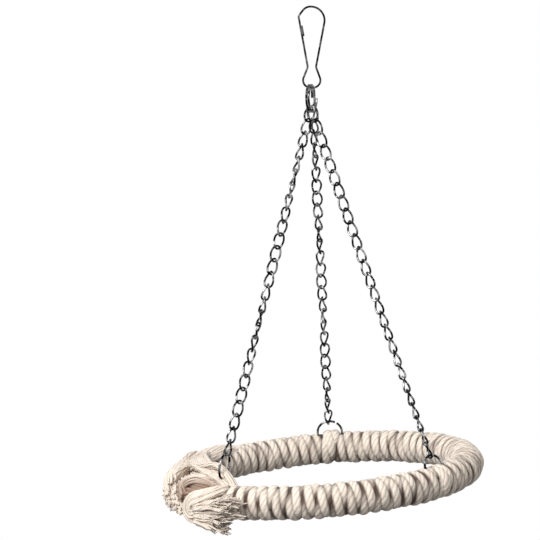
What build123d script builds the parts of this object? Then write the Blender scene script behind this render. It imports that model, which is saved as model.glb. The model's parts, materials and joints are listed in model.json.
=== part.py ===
from build123d import *
import math
import os

# Bird swing: a rope-wrapped hoop hung by three curb chains from a split ring and a wire snap hook.
# Millimetres, +Z up, +X to the right and +Y away from the viewer.
# The origin is the hanging point, where a bar touches the inside of the hook's crown.

# Snap hook, one bent wire in the XZ plane
HOOK_WIRE = 1.3
HOOK_LENGTH = 50.2          # crown to eye, between the wire's centre lines
CREST_LEFT = 3.2            # straight crest of the crown, to the left and right of the hanging point
CREST_RIGHT = 10.3
BOW_RADIUS = 8.6            # right-hand shoulder of the bow
SHOULDER_RADIUS = 6.0       # left-hand shoulder
CORNER_REACH = 7.6          # corner above the nose
CORNER_DROP = 5.9
CORNER_RADIUS = 1.6
NECK_RISE = 12.8            # neck above the bottom of the eye
NECK_LEFT = 1.8
NECK_RIGHT = 3.3
NECK_RADIUS = 3.5
EYE_LEFT = 6.9              # corners of the eye, to the left and right of the hanging point
EYE_RIGHT = 8.1
EYE_RADIUS = 4.6
NOSE_LENGTH = 11.2          # from the corner down to the nose's free end

# Gate: the hook's springy left leg, with a folded keeper that holds the nose
FLEX_RISE = 2.5             # bending point above the neck
FLEX_GAP = 0.3
KEEPER_LENGTH = 6.6
KEEPER_BASE = 1.2
KEEPER_WALL = 0.55
KEEPER_CLEARANCE = 0.3      # around the nose
KEEPER_ROUND = 0.2

# Split ring, two coils of wire
SPLIT_RING_DIAMETER = 18.0
SPLIT_RING_WIRE = 1.4
COIL_GAP = 0.15
COIL_TURNS = 2
SPLIT_RING_YAW = 16.0       # degrees that the ring is turned from edge-on
HANG_CLEARANCE = 0.3        # between two wires that hang in each other

# Curb chain link, an oval of wire twisted about the chain
LINK_WIRE = 1.3
LINK_WIDTH = 7.2
LINK_PITCH = 8.44
LINK_COUNT = 27             # links in each chain
LINK_TWIST = 40.0           # degrees from the link's waist to its end
LINK_BUTT = 0.2             # open butt of the bent wire
TOP_LINK_CLEARANCE = 1.8    # the first links' bows stand off the double coil, so that they can tilt
TOP_LINK_SPACING = 3.2      # along the bottom of the split ring
TOP_LINK_TURN = -32.0       # degrees that the first links are turned on the split ring, clear of each other

# Seat rings, open rings of wire that join the chains to the hoop
SEAT_RING_DIAMETER = 17.6
SEAT_RING_WIRE = 1.5
SEAT_RING_OPENING = 1.5
SEAT_RING_OPENING_ANGLE = 35.0
SEAT_RING_CLEARANCE = 0.25  # to what a ring passes over and to the rope above it
SEAT_RING_ROOM = 1.0        # along the hoop, between a ring and the turns of rope beside it
LEFT_RING_YAW = -30.0       # degrees that the left-hand ring is turned on the hitch that it hangs from

# Seat: a steel hoop wound with rope
HOOP_DIAMETER = 200.0       # over the rope
CORE_WIRE = 7.0
ROPE_DIAMETER = 6.6
ROPE_CLEARANCE = 0.26       # between the core and the rope
TURN_GAP = 0.5              # between neighbouring turns, inside the hoop where they are closest
WINDING_START = 227.5       # degrees round the hoop from +X at which the winding first crosses the top
WINDING_END = 504.0         # and at which it crosses the top for the last time
LEAVING_TURN = 0.75         # part of a turn from there to the outside of the hoop, where the rope leaves it
UNDER_TURN = 0.5            # part of a turn from the top of the hoop to under it, where the wraps meet
QUARTER_TURN = 0.25         # part of a turn from the outside of the hoop to its top
BEND_SHARE = 0.45           # part of a straight run that a bend in loose rope may use
SEAT_TILT = 5.0             # degrees that the seat's right-hand side hangs higher
SEAT_SHIFT = 9.0            # the seat's centre to the right of the hook, drawn there by the knot's weight

# Where the chains meet the hoop, in degrees round it from +X, and the chains' own twist in half turns
RING_ANGLES = {"left": 221.0, "right": 316.5, "back": 446.0}
RING_ROLLS = {"left": 0.0, "right": 88.0, "back": 0.0}   # degrees that they sit down the hoop's outside
CHAIN_HALF_TURNS = {"left": -3, "right": 0, "back": -4}
CHAIN_ORDER = {"left": -1, "right": 0, "back": 1}   # places along the split ring, front to back

# Frayed rope ends: widths and thicknesses along each, root first
TUFT_LENGTH = 11.0
TUFT_WIDTHS = (6.2, 9.5, 11.0)
TUFT_THICKNESSES = (6.2, 6.6, 5.0)
TASSEL_LENGTH = 24.0
TASSEL_WIDTHS = (6.2, 12.0, 18.0)
TASSEL_THICKNESSES = (6.2, 7.5, 6.0)
FRAY_ROUND = 2.2

# Routes of the loose rope at the knot, as degrees round the hoop, distance out from the hoop's
# centre line and height above it
UPPER_ROUTE = ((153.0, 4.4, 11.0), (164.0, 3.2, 9.8), (175.0, 3.6, 8.8), (184.0, 5.8, 6.4), (190.5, 7.9, 0.6))
HITCH_ROUTE = ((170.0, -6.4, 6.0), (181.0, -6.6, 11.0), (193.0, -8.0, 14.4), (205.0, -8.8, 17.4))
LOWER_ROUTE = (
    (224.0, 13.2, 6.8),
    (218.0, 15.2, 5.0),
    (218.0, 15.5, -4.6),
    (223.2, 15.2, -4.9),
    (227.5, 15.2, -3.6),
)
HITCH_LIFT = 2.4            # of the left-hand ring above the wound rope, drawn up by its chain
HITCH_DIP = 26.0            # degrees that the hitch falls where it goes through the left-hand ring
HITCH_CLEARANCE = 1.0       # more room between the falling hitch and the ring
HITCH_BEFORE = 7.0          # straight run of the hitch before and after the ring
HITCH_AFTER = 8.0

crown_height = HOOK_WIRE / 2
eye_height = crown_height - HOOK_LENGTH
helix_radius = CORE_WIRE / 2 + ROPE_CLEARANCE + ROPE_DIAMETER / 2
hoop_radius = HOOP_DIAMETER / 2 - helix_radius - ROPE_DIAMETER / 2
ring_radius = (SEAT_RING_DIAMETER - SEAT_RING_WIRE) / 2
ring_seat = CORE_WIRE / 2 + SEAT_RING_CLEARANCE + SEAT_RING_WIRE / 2
hitch_ring_seat = helix_radius + ROPE_DIAMETER / 2 + HITCH_LIFT + SEAT_RING_WIRE / 2
rope_over_ring = SEAT_RING_WIRE / 2 + SEAT_RING_CLEARANCE + ROPE_DIAMETER / 2
rope_lift = ring_seat + rope_over_ring - helix_radius
ring_seats = {"left": hitch_ring_seat, "right": ring_seat, "back": ring_seat}


# Curves and tubes

def heading(curve, at):
    """Direction of a curve."""
    step = 1e-4
    return (curve(at + step) - curve(at - step)).normalized()


def biarc(start, start_heading, end, end_heading):
    """Two tangent arcs that join two points at the given headings."""
    chord = end - start
    bend = 2 * (1 - start_heading.dot(end_heading))
    along = chord.dot(start_heading + end_heading)
    reach = (math.sqrt(along**2 + bend * chord.dot(chord)) - along) / bend
    first = start + start_heading * reach
    last = end - end_heading * reach
    middle = (first + last) * 0.5
    opening = Edge.make_tangent_arc(start, start_heading, middle)
    return [opening, Edge.make_tangent_arc(middle, last - first, end)]


def biarc_path(curve, start, stop, steps):
    """Path of biarcs through evenly spaced points of a curve."""
    marks = [start + (stop - start) * i / steps for i in range(steps + 1)]
    edges = []
    for a, b in zip(marks, marks[1:]):
        edges += biarc(curve(a), heading(curve, a), curve(b), heading(curve, b))
    return Wire(edges)


def bent_path(points, radii):
    """Straight runs with rounded corners, eased where two corners would meet on one run."""
    runs = [b - a for a, b in zip(points, points[1:])]
    tangents = [math.tan(math.radians(a.get_angle(b)) / 2) for a, b in zip(runs, runs[1:])]
    reaches = [0] + [r * t for r, t in zip(radii, tangents)] + [0]
    ease = [min(1, 0.98 * run.length / (a + b)) for run, a, b in zip(runs, reaches, reaches[1:])]
    return FilletPolyline(*points, radius=[r * min(a, b) for r, a, b in zip(radii, ease, ease[1:])])


def rope_path(points):
    """Route of loose rope, with each bend as large as its two runs allow."""
    radii = []
    for before, at, after in zip(points, points[1:], points[2:]):
        turn = math.radians((at - before).get_angle(after - at))
        shorter = min((at - before).length, (after - at).length)
        radii.append(BEND_SHARE * shorter / math.tan(turn / 2))
    path = FilletPolyline(*points, radius=radii)
    print("loose rope", round(path.length, 1), "mm, radii", [round(r, 1) for r in radii])
    return path


def tube(path, diameter):
    """Round bar along a path."""
    return sweep(Plane(path @ 0, z_dir=path % 0) * Circle(diameter / 2), path=path)


# Hook

def hook_points():
    """Corners of the hook's centre line, from the corner above the nose to the left of the neck."""
    neck = eye_height + NECK_RISE
    return [
        Vector(-CORNER_REACH, 0, crown_height - CORNER_DROP),
        Vector(-CREST_LEFT, 0, crown_height),
        Vector(CREST_RIGHT, 0, crown_height),
        Vector(NECK_RIGHT, 0, neck),
        Vector(EYE_RIGHT, 0, eye_height),
        Vector(-EYE_LEFT, 0, eye_height),
        Vector(-NECK_LEFT, 0, neck),
    ]


def leg_line():
    """Foot, direction and length of the line that the gate and the nose share."""
    corners = hook_points()
    leg = corners[0] - corners[-1]
    return corners[-1], leg.normalized(), leg.length


def make_hook_wire():
    foot, up, length = leg_line()
    nose = foot + up * (length - NOSE_LENGTH)
    points = [nose] + hook_points() + [foot + up * FLEX_RISE]
    radii = [CORNER_RADIUS, SHOULDER_RADIUS, BOW_RADIUS, NECK_RADIUS, EYE_RADIUS, EYE_RADIUS, NECK_RADIUS]
    return tube(bent_path(points, radii), HOOK_WIRE)


def make_hook_gate():
    """Springy leg with a keeper folded round the nose, open on its outer side."""
    foot, up, length = leg_line()
    base = length - NOSE_LENGTH - KEEPER_CLEARANCE - KEEPER_BASE
    start = foot + up * (FLEX_RISE + FLEX_GAP)
    leg = tube(Wire([Edge.make_line(start, foot + up * (base + KEEPER_BASE / 2))]), HOOK_WIRE)
    slot = HOOK_WIRE + 2 * KEEPER_CLEARANCE
    depth = HOOK_WIRE + KEEPER_CLEARANCE + KEEPER_WALL
    block = Box(depth, slot + 2 * KEEPER_WALL, KEEPER_LENGTH, align=(Align.MIN, Align.CENTER, Align.MIN))
    block = fillet(block.edges().filter_by(Axis.Z), KEEPER_ROUND)
    cut = Box(depth - KEEPER_WALL, slot, KEEPER_LENGTH, align=(Align.MIN, Align.CENTER, Align.MIN))
    keeper = Pos(-HOOK_WIRE / 2, 0, 0) * (block - Pos(0, 0, KEEPER_BASE) * cut)
    place = Plane(foot + up * base, x_dir=(up.Z, 0, -up.X), z_dir=up)
    return leg + place * keeper


# Split ring

coil_pitch = SPLIT_RING_WIRE + COIL_GAP
split_radius = (SPLIT_RING_DIAMETER - SPLIT_RING_WIRE) / 2
eye_middle = (EYE_RIGHT - EYE_LEFT) / 2
split_top = eye_height + HOOK_WIRE / 2 + SPLIT_RING_WIRE / 2 + HANG_CLEARANCE
split_centre = Vector(eye_middle, 0, split_top - split_radius)
split_normal = Vector(math.cos(math.radians(SPLIT_RING_YAW)), -math.sin(math.radians(SPLIT_RING_YAW)), 0)
split_along = Vector(-split_normal.Y, split_normal.X, 0)
apex = split_centre - Vector(0, 0, split_radius)


def split_coil(turn):
    """Double coil, centred on the apex at the bottom of the ring."""
    angle = 2 * math.pi * turn
    aside = coil_pitch * (turn - COIL_TURNS / 2 - 0.25)
    across = split_along * (split_radius * math.cos(angle))
    return split_centre + split_normal * aside + across + Vector(0, 0, split_radius * math.sin(angle))


def make_split_ring():
    return tube(biarc_path(split_coil, 0, COIL_TURNS, 4 * COIL_TURNS), SPLIT_RING_WIRE)


# Seat frame, level in its own plane and hung with a tilt

link_clear_length = LINK_PITCH + LINK_WIRE + HANG_CLEARANCE
top_hang = SPLIT_RING_WIRE / 2 + LINK_WIRE / 2 + TOP_LINK_CLEARANCE
ring_hang = SEAT_RING_WIRE / 2 + LINK_WIRE / 2 + HANG_CLEARANCE
chain_length = LINK_PITCH * (LINK_COUNT - 1) + link_clear_length - top_hang - ring_hang
slant = chain_length + ring_seat + 2 * ring_radius
seat_drop = math.sqrt(slant**2 - hoop_radius**2)
tilt = math.radians(SEAT_TILT)
seat = Plane(
    apex + Vector(SEAT_SHIFT, 0, -seat_drop),
    x_dir=(math.cos(tilt), 0, math.sin(tilt)),
    z_dir=(-math.sin(tilt), 0, math.cos(tilt)),
)


def outward(angle):
    return Vector(math.cos(math.radians(angle)), math.sin(math.radians(angle)), 0)


def forward(angle):
    return Vector(-math.sin(math.radians(angle)), math.cos(math.radians(angle)), 0)


def by_hoop(angle, out, up):
    """Point beside the hoop, in the seat's own frame."""
    return outward(angle) * (hoop_radius + out) + Vector(0, 0, up)


def pulled(angle, place):
    """Direction across the hoop in which a chain pulls at a place."""
    pull = seat.to_local_coords(apex) - place
    along = forward(angle)
    return (pull - along * pull.dot(along)).normalized()


def ring_seat_direction(side):
    """Direction from the hoop's centre line to where a seat ring passes under the rope."""
    angle = RING_ANGLES[side]
    return pulled(angle, by_hoop(angle, 0, 0)).rotate(Axis((0, 0, 0), forward(angle)), RING_ROLLS[side])


def ring_bottom(side):
    """Middle of a seat ring's wire under the rope."""
    return by_hoop(RING_ANGLES[side], 0, 0) + ring_seat_direction(side) * ring_seats[side]


def ring_up(side):
    """Direction in which a seat ring stands, drawn towards the apex by its chain."""
    return pulled(RING_ANGLES[side], ring_bottom(side))


def seat_vector(direction):
    """Direction in the part's frame, given in the seat's."""
    return seat.from_local_coords(direction) - seat.from_local_coords(Vector(0, 0, 0))


def ring_sideways(side):
    """Direction across a seat ring: along the hoop, or across the hitch with a turn."""
    along = forward(RING_ANGLES[side])
    if side != "left":
        return along
    yaw = math.radians(LEFT_RING_YAW)
    return along.cross(ring_up(side)) * math.cos(yaw) - along * math.sin(yaw)


def ring_top(side):
    """Middle of a seat ring's wire where the chain's last link holds it."""
    return ring_bottom(side) + ring_up(side) * (2 * ring_radius)


def make_seat_ring(side):
    """Open ring that passes under a raised turn of rope, or under the hitch."""
    up = ring_up(side)
    sideways = ring_sideways(side)
    centre = ring_bottom(side) + up * ring_radius
    half_opening = SEAT_RING_OPENING / (4 * math.pi * ring_radius)

    def circle(turn):
        bearing = math.radians(SEAT_RING_OPENING_ANGLE) + 2 * math.pi * turn
        return centre + up * (ring_radius * math.cos(bearing)) - sideways * (ring_radius * math.sin(bearing))

    return seat * tube(biarc_path(circle, half_opening, 1 - half_opening, 4), SEAT_RING_WIRE)


# Chains

def link_curve(turn):
    """Oval centre line about +Z, twisted evenly from end to end."""
    angle = 2 * math.pi * turn
    aside = (LINK_WIDTH - LINK_WIRE) / 2 * math.cos(angle)
    twist = -math.radians(LINK_TWIST) * math.sin(angle)
    return Vector(aside * math.cos(twist), aside * math.sin(twist), link_clear_length / 2 * math.sin(angle))


def make_link():
    """Link of bent wire, butted at its waist."""
    butt = heading(link_curve, 0) * (LINK_BUTT / 2)
    stations = [(link_curve(i / 4), heading(link_curve, i / 4)) for i in range(5)]
    stations[0] = (stations[0][0] + butt, stations[0][1])
    stations[-1] = (stations[-1][0] - butt, stations[-1][1])
    edges = []
    for a, b in zip(stations, stations[1:]):
        edges += biarc(*a, *b)
    return tube(Wire(edges), LINK_WIRE)


def link_places(side):
    """Planes of one chain's links, top link first."""
    bearing = math.asin(CHAIN_ORDER[side] * TOP_LINK_SPACING / split_radius)
    below = Vector(0, 0, -split_radius * math.cos(bearing))
    top = split_centre + split_along * (split_radius * math.sin(bearing)) + below
    bottom = seat.from_local_coords(ring_top(side))
    ring_normal = seat_vector(ring_sideways(side).cross(ring_up(side)))
    up = (top - bottom).normalized()
    right = (Vector(1, 0, 0) - up * up.X).normalized()
    away = up.cross(right)
    pitch = ((top - bottom).length + top_hang + ring_hang - link_clear_length) / (LINK_COUNT - 1)

    def roll(direction):
        return math.degrees(math.atan2(direction.dot(away), direction.dot(right)))

    first = roll(split_normal) + LINK_TWIST + TOP_LINK_TURN
    last = roll(ring_normal) - LINK_TWIST + 180 * CHAIN_HALF_TURNS[side]
    places = []
    for i in range(LINK_COUNT):
        centre = top + up * (top_hang - link_clear_length / 2 - pitch * i)
        face = math.radians(first + (last - first) * i / (LINK_COUNT - 1))
        places.append(Plane(centre, x_dir=right * math.cos(face) + away * math.sin(face), z_dir=up))
    return places


# Rope winding

def ring_section(side):
    """Angle round the hoop's section, from outward, at which a seat ring passes under the rope."""
    direction = ring_seat_direction(side)
    return math.atan2(direction.Z, direction.dot(outward(RING_ANGLES[side])))


def ring_step(side):
    """Degrees between the turn over a seat ring and the turns beside it."""
    stand_off = ring_radius + SEAT_RING_WIRE / 2 + ROPE_DIAMETER / 2 + SEAT_RING_ROOM
    centre = ring_seat_direction(side) * ring_seat + ring_up(side) * ring_radius
    rise = centre.length - helix_radius
    lean = helix_radius * hoop_radius / slant
    return math.degrees(math.sqrt(stand_off**2 - rise**2) / (hoop_radius - lean))


def close_step():
    """Degrees between turns that lie as close as the rope allows."""
    spacing = ROPE_DIAMETER + TURN_GAP
    inner_pitch = spacing / math.sqrt(1 - (spacing / (2 * math.pi * helix_radius)) ** 2)
    return math.degrees(inner_pitch / (hoop_radius - helix_radius))


def even_tops(first, last):
    """Evenly spaced crossings of the top."""
    intervals = int((last - first) / close_step())
    return [first + (last - first) * i / intervals for i in range(intervals + 1)]


def turn_angles():
    """Angles at which the turns cross the top of the hoop, and the counts of those over seat rings."""
    tops = []
    counts = {}
    first = WINDING_START
    for side in ("right", "back"):
        step = ring_step(side)
        lag = QUARTER_TURN - ring_section(side) / (2 * math.pi)
        over_ring = RING_ANGLES[side] + step * lag
        tops += even_tops(first, over_ring - step - max(0, lag) * (step - close_step()))
        counts[len(tops)] = side
        tops.append(over_ring)
        first = over_ring + step
    return tops + even_tops(first, WINDING_END), counts


turn_tops, ring_turns = turn_angles()
winding_start = 0
winding_stop = len(turn_tops) - 1 + LEAVING_TURN


def winding(turn):
    """Rope's centre line in the seat's frame: whole turns are at the top of the hoop."""
    count = min(max(math.floor(turn), 0), len(turn_tops) - 2)
    angle = turn_tops[count] + (turn_tops[count + 1] - turn_tops[count]) * (turn - count)
    section = 2 * math.pi * (turn + QUARTER_TURN)
    radius = helix_radius
    for ring_turn, side in ring_turns.items():
        over_ring = ring_turn + ring_section(side) / (2 * math.pi) - QUARTER_TURN
        if abs(turn - over_ring) < QUARTER_TURN:
            radius += rope_lift * math.cos(2 * math.pi * (turn - over_ring)) ** 2
    return by_hoop(angle, radius * math.cos(section), radius * math.sin(section))


def least_gap(start, stop):
    """Least distance between the surfaces of neighbouring turns, on points."""
    samples = 40
    count = int((stop - start) * samples)
    points = [winding(start + i / samples) for i in range(count + 1)]
    nearest = ROPE_DIAMETER * 10
    for i, point in enumerate(points):
        for other in points[i + samples // 2 : i + 3 * samples // 2]:
            nearest = min(nearest, (point - other).length)
    return nearest - ROPE_DIAMETER


def make_wrap(start, stop):
    path = biarc_path(winding, start, stop, round(4 * (stop - start)))
    return seat * tube(path, ROPE_DIAMETER)


# Loose rope and frayed ends

def upper_path():
    """From the end of the winding along the outer left of the hoop."""
    start = winding(winding_stop)
    exit_point = start + heading(winding, winding_stop) * ROPE_DIAMETER
    return rope_path([start, exit_point] + [by_hoop(*p) for p in UPPER_ROUTE])


def hitch_path():
    """From beside the upper end, across the gap in the winding and through the left-hand seat ring."""
    up = ring_up("left")
    in_ring = ring_bottom("left") + up * (rope_over_ring + HITCH_CLEARANCE)
    dip = math.radians(HITCH_DIP)
    along = forward(RING_ANGLES["left"]) * math.cos(dip) - up * math.sin(dip)
    through = [in_ring - along * HITCH_BEFORE, in_ring + along * HITCH_AFTER]
    return rope_path([by_hoop(*p) for p in HITCH_ROUTE] + through)


def lower_path():
    """From the start of the winding round a bight in front of the hoop."""
    start = winding(winding_start)
    exit_point = start - heading(winding, winding_start) * ROPE_DIAMETER
    return rope_path([start, exit_point] + [by_hoop(*p) for p in LOWER_ROUTE])


def make_fray(path, route, length, widths, thicknesses):
    """Frayed end that widens from a cut rope, flat against the outside of the hoop."""
    angle = route[-1][0]
    towards = path % 1
    across = towards.cross(outward(angle)).normalized()
    sections = []
    for i, (width, thickness) in enumerate(zip(widths, thicknesses)):
        place = Plane((path @ 1) + towards * (length * i / (len(widths) - 1)), x_dir=across, z_dir=towards)
        sections.append(place * RectangleRounded(width, thickness, FRAY_ROUND))
    return seat * loft(sections)


def make_nodes():
    """Every sub-part by name."""
    nodes = {
        "hook_wire": make_hook_wire(),
        "hook_gate": make_hook_gate(),
        "split_ring": make_split_ring(),
    }
    link = make_link()
    for side in RING_ANGLES:
        links = [place * link for place in link_places(side)]
        nodes[side + "_top_link"] = links[0]
        nodes[side + "_chain"] = Compound(children=links[1:])
        nodes[side + "_seat_ring"] = make_seat_ring(side)
    nodes["hoop_core"] = seat * Torus(hoop_radius, CORE_WIRE / 2)
    right, back = ring_turns
    middle = (right + back) // 2
    cuts = [winding_start, right - UNDER_TURN, middle + UNDER_TURN, back + UNDER_TURN, winding_stop]
    for name, start, stop in zip(("front", "right", "back", "left"), cuts, cuts[1:]):
        nodes[name + "_wrap"] = make_wrap(start, stop)
        print(name + "_wrap turns", stop - start, "least gap", round(least_gap(start, stop), 3))
    upper = upper_path()
    lower = lower_path()
    nodes["upper_rope_end"] = seat * tube(upper, ROPE_DIAMETER)
    nodes["upper_tuft"] = make_fray(upper, UPPER_ROUTE, TUFT_LENGTH, TUFT_WIDTHS, TUFT_THICKNESSES)
    nodes["rope_hitch"] = seat * tube(hitch_path(), ROPE_DIAMETER)
    nodes["lower_rope_end"] = seat * tube(lower, ROPE_DIAMETER)
    nodes["lower_tassel"] = make_fray(lower, LOWER_ROUTE, TASSEL_LENGTH, TASSEL_WIDTHS, TASSEL_THICKNESSES)
    return nodes


os.makedirs("parts", exist_ok=True)
for node, shape in make_nodes().items():
    export_step(shape, "parts/" + node + ".step")
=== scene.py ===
import json
import math
import random
from collections import namedtuple

import bpy
import numpy as np
from bpy.props import FloatProperty, FloatVectorProperty, IntProperty, PointerProperty
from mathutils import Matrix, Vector


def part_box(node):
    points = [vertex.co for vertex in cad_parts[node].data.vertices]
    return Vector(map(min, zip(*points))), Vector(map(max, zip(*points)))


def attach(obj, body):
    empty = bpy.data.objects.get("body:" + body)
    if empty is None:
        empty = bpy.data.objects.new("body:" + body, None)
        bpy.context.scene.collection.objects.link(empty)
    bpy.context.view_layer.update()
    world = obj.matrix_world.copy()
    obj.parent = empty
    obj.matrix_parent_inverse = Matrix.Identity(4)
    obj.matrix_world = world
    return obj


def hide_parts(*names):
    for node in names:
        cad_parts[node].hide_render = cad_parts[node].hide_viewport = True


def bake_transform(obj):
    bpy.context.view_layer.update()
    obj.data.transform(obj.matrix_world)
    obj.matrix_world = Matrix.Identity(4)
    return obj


bl_info = {
    "name": "Bird Swing",
    "version": (1, 0, 0),
    "blender": (4, 5, 0),
    "location": "View3D > Sidebar > Bird Swing",
    "description": "Dresses the solids of a rope-wrapped bird swing with rope, yarn and plated metal",
    "category": "Object",
}

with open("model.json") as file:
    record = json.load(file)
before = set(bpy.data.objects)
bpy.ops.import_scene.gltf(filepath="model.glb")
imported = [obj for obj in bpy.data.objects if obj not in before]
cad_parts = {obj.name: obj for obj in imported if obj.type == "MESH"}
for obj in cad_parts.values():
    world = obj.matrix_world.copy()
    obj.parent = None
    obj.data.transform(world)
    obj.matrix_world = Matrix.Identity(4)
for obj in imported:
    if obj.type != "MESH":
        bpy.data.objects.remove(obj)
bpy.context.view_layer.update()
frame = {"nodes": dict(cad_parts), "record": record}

# Seat: the hoop's centre line in metres and the tilt of its plane
HOOP_RADIUS = 0.08964
SEAT_TILT = math.radians(5.0)
SEAT_LOW, SEAT_HIGH = (Vector(c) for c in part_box("hoop_core"))
SEAT_CENTRE = np.array((SEAT_LOW + SEAT_HIGH) / 2)
UP = (0, 0, 1)

# Winding: turns of rope, counted from the hoop's top, and where they lie in degrees round the hoop from +X
HELIX_RADIUS = 0.00706
LAST_TURN = 52.75
TURN_MARKS = (0, 16, 17, 18, 40, 41, 42, 52, LAST_TURN)
ANGLE_MARKS = (227.5, 311.7, 318.1, 324.4, 439.2, 445.5, 451.8, 504.0, 507.8)
RINGS = ((17, 21.7), (41, 111.3))   # turn of rope over each ring and degrees round the section, from outward
RING_LIFT = 0.0021
QUARTER_TURN = 0.25
POINTS_PER_TURN = 36
TURN_STEP = 0.04   # part of a turn that gives the rope's direction at its ends
WRAP_CUTS = (
    ("front_wrap", 0, 16.5),
    ("right_wrap", 16.5, 29.5),
    ("back_wrap", 29.5, 41.5),
    ("left_wrap", 41.5, LAST_TURN),
)

# Waves that keep the rope from lying too evenly: size, beat and start of each
ANGLE_WAVES = ((0.16, 2.1, 1.3), (0.12, 5.3, 0.0))
RADIUS_WAVES = ((0.00014, 3.7, 0.0), (0.00010, 9.1, 0.4))
STRAND_WAVES = ((0.04, 260, 2.1), (0.035, 97, 1.0))

# Painted shade deep in the rope, between the turns and in the knot's hollow: metres from the hoop's centre
# line, degrees round the hoop and degrees round its section
CREVICE_REACHES = (0.0094, 0.0098, 0.0102)
CREVICE_OPENNESS = (0, 0.45, 1)
HOLLOW_ANGLES = (187, 196, 218, 227)
HOLLOW_SECTIONS = (-60, -25, 105, 140)
HOLLOW_EASE = (0, 1, 1, 0)
HOLLOW_REACHES = (0.0080, 0.0105, 0.0140)
HOLLOW_DEPTHS = (0.85, 0.55, 0)

# Loose rope: degrees round the hoop, millimetres out from its centre line and millimetres above it
UPPER_ROUTE = (
    (153.0, 4.4, 11.0),
    (164.0, 3.2, 9.8),
    (175.0, 3.6, 8.8),
    (184.0, 5.8, 6.4),
    (190.5, 7.9, 0.6),
)
HITCH_ROUTE = (
    (170.0, -6.4, 6.0),
    (181.0, -6.6, 11.0),
    (193.0, -8.0, 14.4),
    (205.0, -8.8, 17.4),
    (216.6, -8.4, 20.1),
    (225.9, -5.7, 14.1),
    (231.0, -2.0, 7.0),
)
LOWER_ROUTE = (
    (224.0, 13.2, 6.8),
    (218.0, 15.2, 5.0),
    (218.0, 15.5, -4.6),
    (223.2, 15.2, -4.9),
    (227.5, 15.2, -3.6),
)
UNDER_ROUTE = (
    (150.0, -3.0, 3.0),
    (170.0, -6.0, 3.0),
    (190.0, -8.0, 3.4),
    (208.0, -7.6, 4.0),
    (222.0, -4.0, 4.4),
    (232.0, -2.0, 3.0),
)
CURL_ROUTE = (
    (217.0, -6.0, 4.0),
    (210.0, -4.5, 9.5),
    (203.0, 0.0, 9.5),
    (200.0, 4.5, 5.0),
    (204.0, 6.0, -1.0),
)
ROUTE_STEP = 0.0014
SHORT_STEP = 0.0012    # for the tighter bends of the lower end and the curl
LEAVE_RUN = 0.0066     # straight run of the rope where it leaves the winding
BIGHT_SAG = 0.0026
SPLINE_STEPS = 24

# Bundles of unlaid yarn: widths and depths from end to end, yarns, their radius and degrees of twist
Bundle = namedtuple("Bundle", "widths depths count yarn twist seed")
UPPER_BUNDLE = Bundle(
    widths=(0.008, 0.0085, 0.0085),
    depths=(0.008, 0.0075, 0.007),
    count=18,
    yarn=0.00105,
    twist=60,
    seed=11,
)
HITCH_BUNDLE = Bundle(
    widths=(0.0066, 0.0066),
    depths=(0.0055, 0.0055),
    count=10,
    yarn=0.0008,
    twist=40,
    seed=37,
)
UNDER_BUNDLE = Bundle(
    widths=(0.010, 0.011, 0.010),
    depths=(0.012, 0.015, 0.012),
    count=40,
    yarn=0.0011,
    twist=30,
    seed=29,
)
CURL_BUNDLE = Bundle(
    widths=(0.009, 0.013, 0.013, 0.010),
    depths=(0.007, 0.009, 0.009, 0.008),
    count=38,
    yarn=0.0009,
    twist=110,
    seed=53,
)
LOWER_BUNDLE = Bundle(
    widths=(0.011, 0.0125, 0.0125, 0.011, 0.009, 0.0075),
    depths=(0.009, 0.011, 0.0115, 0.010, 0.009, 0.0075),
    count=54,
    yarn=0.00095,
    twist=40,
    seed=19,
)

# Spread upper end: degrees round the hoop and degrees round its section, from outward, of the sheet's middle
SHEET_ANGLES = (125.0, 150.0, 172.0, 183.0, 194.0)
SHEET_MIDDLES = (88.0, 80.0, 66.0, 34.0, -22.0)
SHEET_LAYERS = ((0.0084, 14), (0.0104, 18), (0.0122, 19))   # distance from the hoop's centre line and yarns
SHEET_ENDS = (129.0, 192.5)
SHEET_SLANT = 3.0                   # degrees that a yarn at the sheet's edge ends sooner or later
SHEET_SHARES = (0, 0.3, 0.8, 1)     # share of a yarn's length, and half the sheet's width there in degrees
SHEET_HALVES = (44, 60, 60, 48)
SHEET_ROOT = 0.0082                 # distance from the hoop's centre line at which the yarns start
SHEET_RISE_SHARES = (0, 0.14, 0.2)
SHEET_RISES = (0, 0.9, 1)
SHEET_CROWN = 0.0012                # how much nearer to the hoop the sheet's edges lie
SHEET_LOWER_EDGE = 0.0008           # and how much nearer still its lower edge does
SHEET_WAVE = 0.0003
SHEET_WANDER = 2.5
SHEET_POINTS = 44
SHEET_SEED = 17
SHEET_VARIETY = (0.12, 5)           # share by which the yarns' radius differs, and its beat

# Yarns along the hoop inside the knot
SLEEVE_ENDS = (140.0, 229.0)
SLEEVE_RADIUS = 0.0049
SLEEVE_SWELL = 0.0012
SLEEVE_WAVE = 0.0004
SLEEVE_WANDER = 0.08
SLEEVE_TWIST = math.radians(70)
SLEEVE_POINTS = 60
SLEEVE_COUNT = 16
SLEEVE_SEED = 13

# Fan of the hitch: its middle yarn's route, laid as those above, and what is added to it at the fan's edge
FAN_ROUTE = np.array((
    (152, -0.5, 9.4),
    (162, -4.5, 13.0),
    (217, -6.4, 14.4),
    (224.5, -3.4, 10.2),
    (230, -1.5, 6.4),
))
FAN_SPREAD = np.array((
    (-10, 0, 0),
    (-11, 0, 0),
    (0, -2.6, 1.4),
    (0, -2.2, 0),
    (0, -1.2, 0),
))
FAN_LAYERS = 3
FAN_LAYER_STEP = -0.9
FAN_LIFT = 0.0022
FAN_STRAY = 0.0004
FAN_BULGE = 0.0052
FAN_BULGE_FALL = 0.0016
FAN_COUNT = 33
FAN_SEED = 41
FAN_VARIETY = (0.15, 7)

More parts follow.
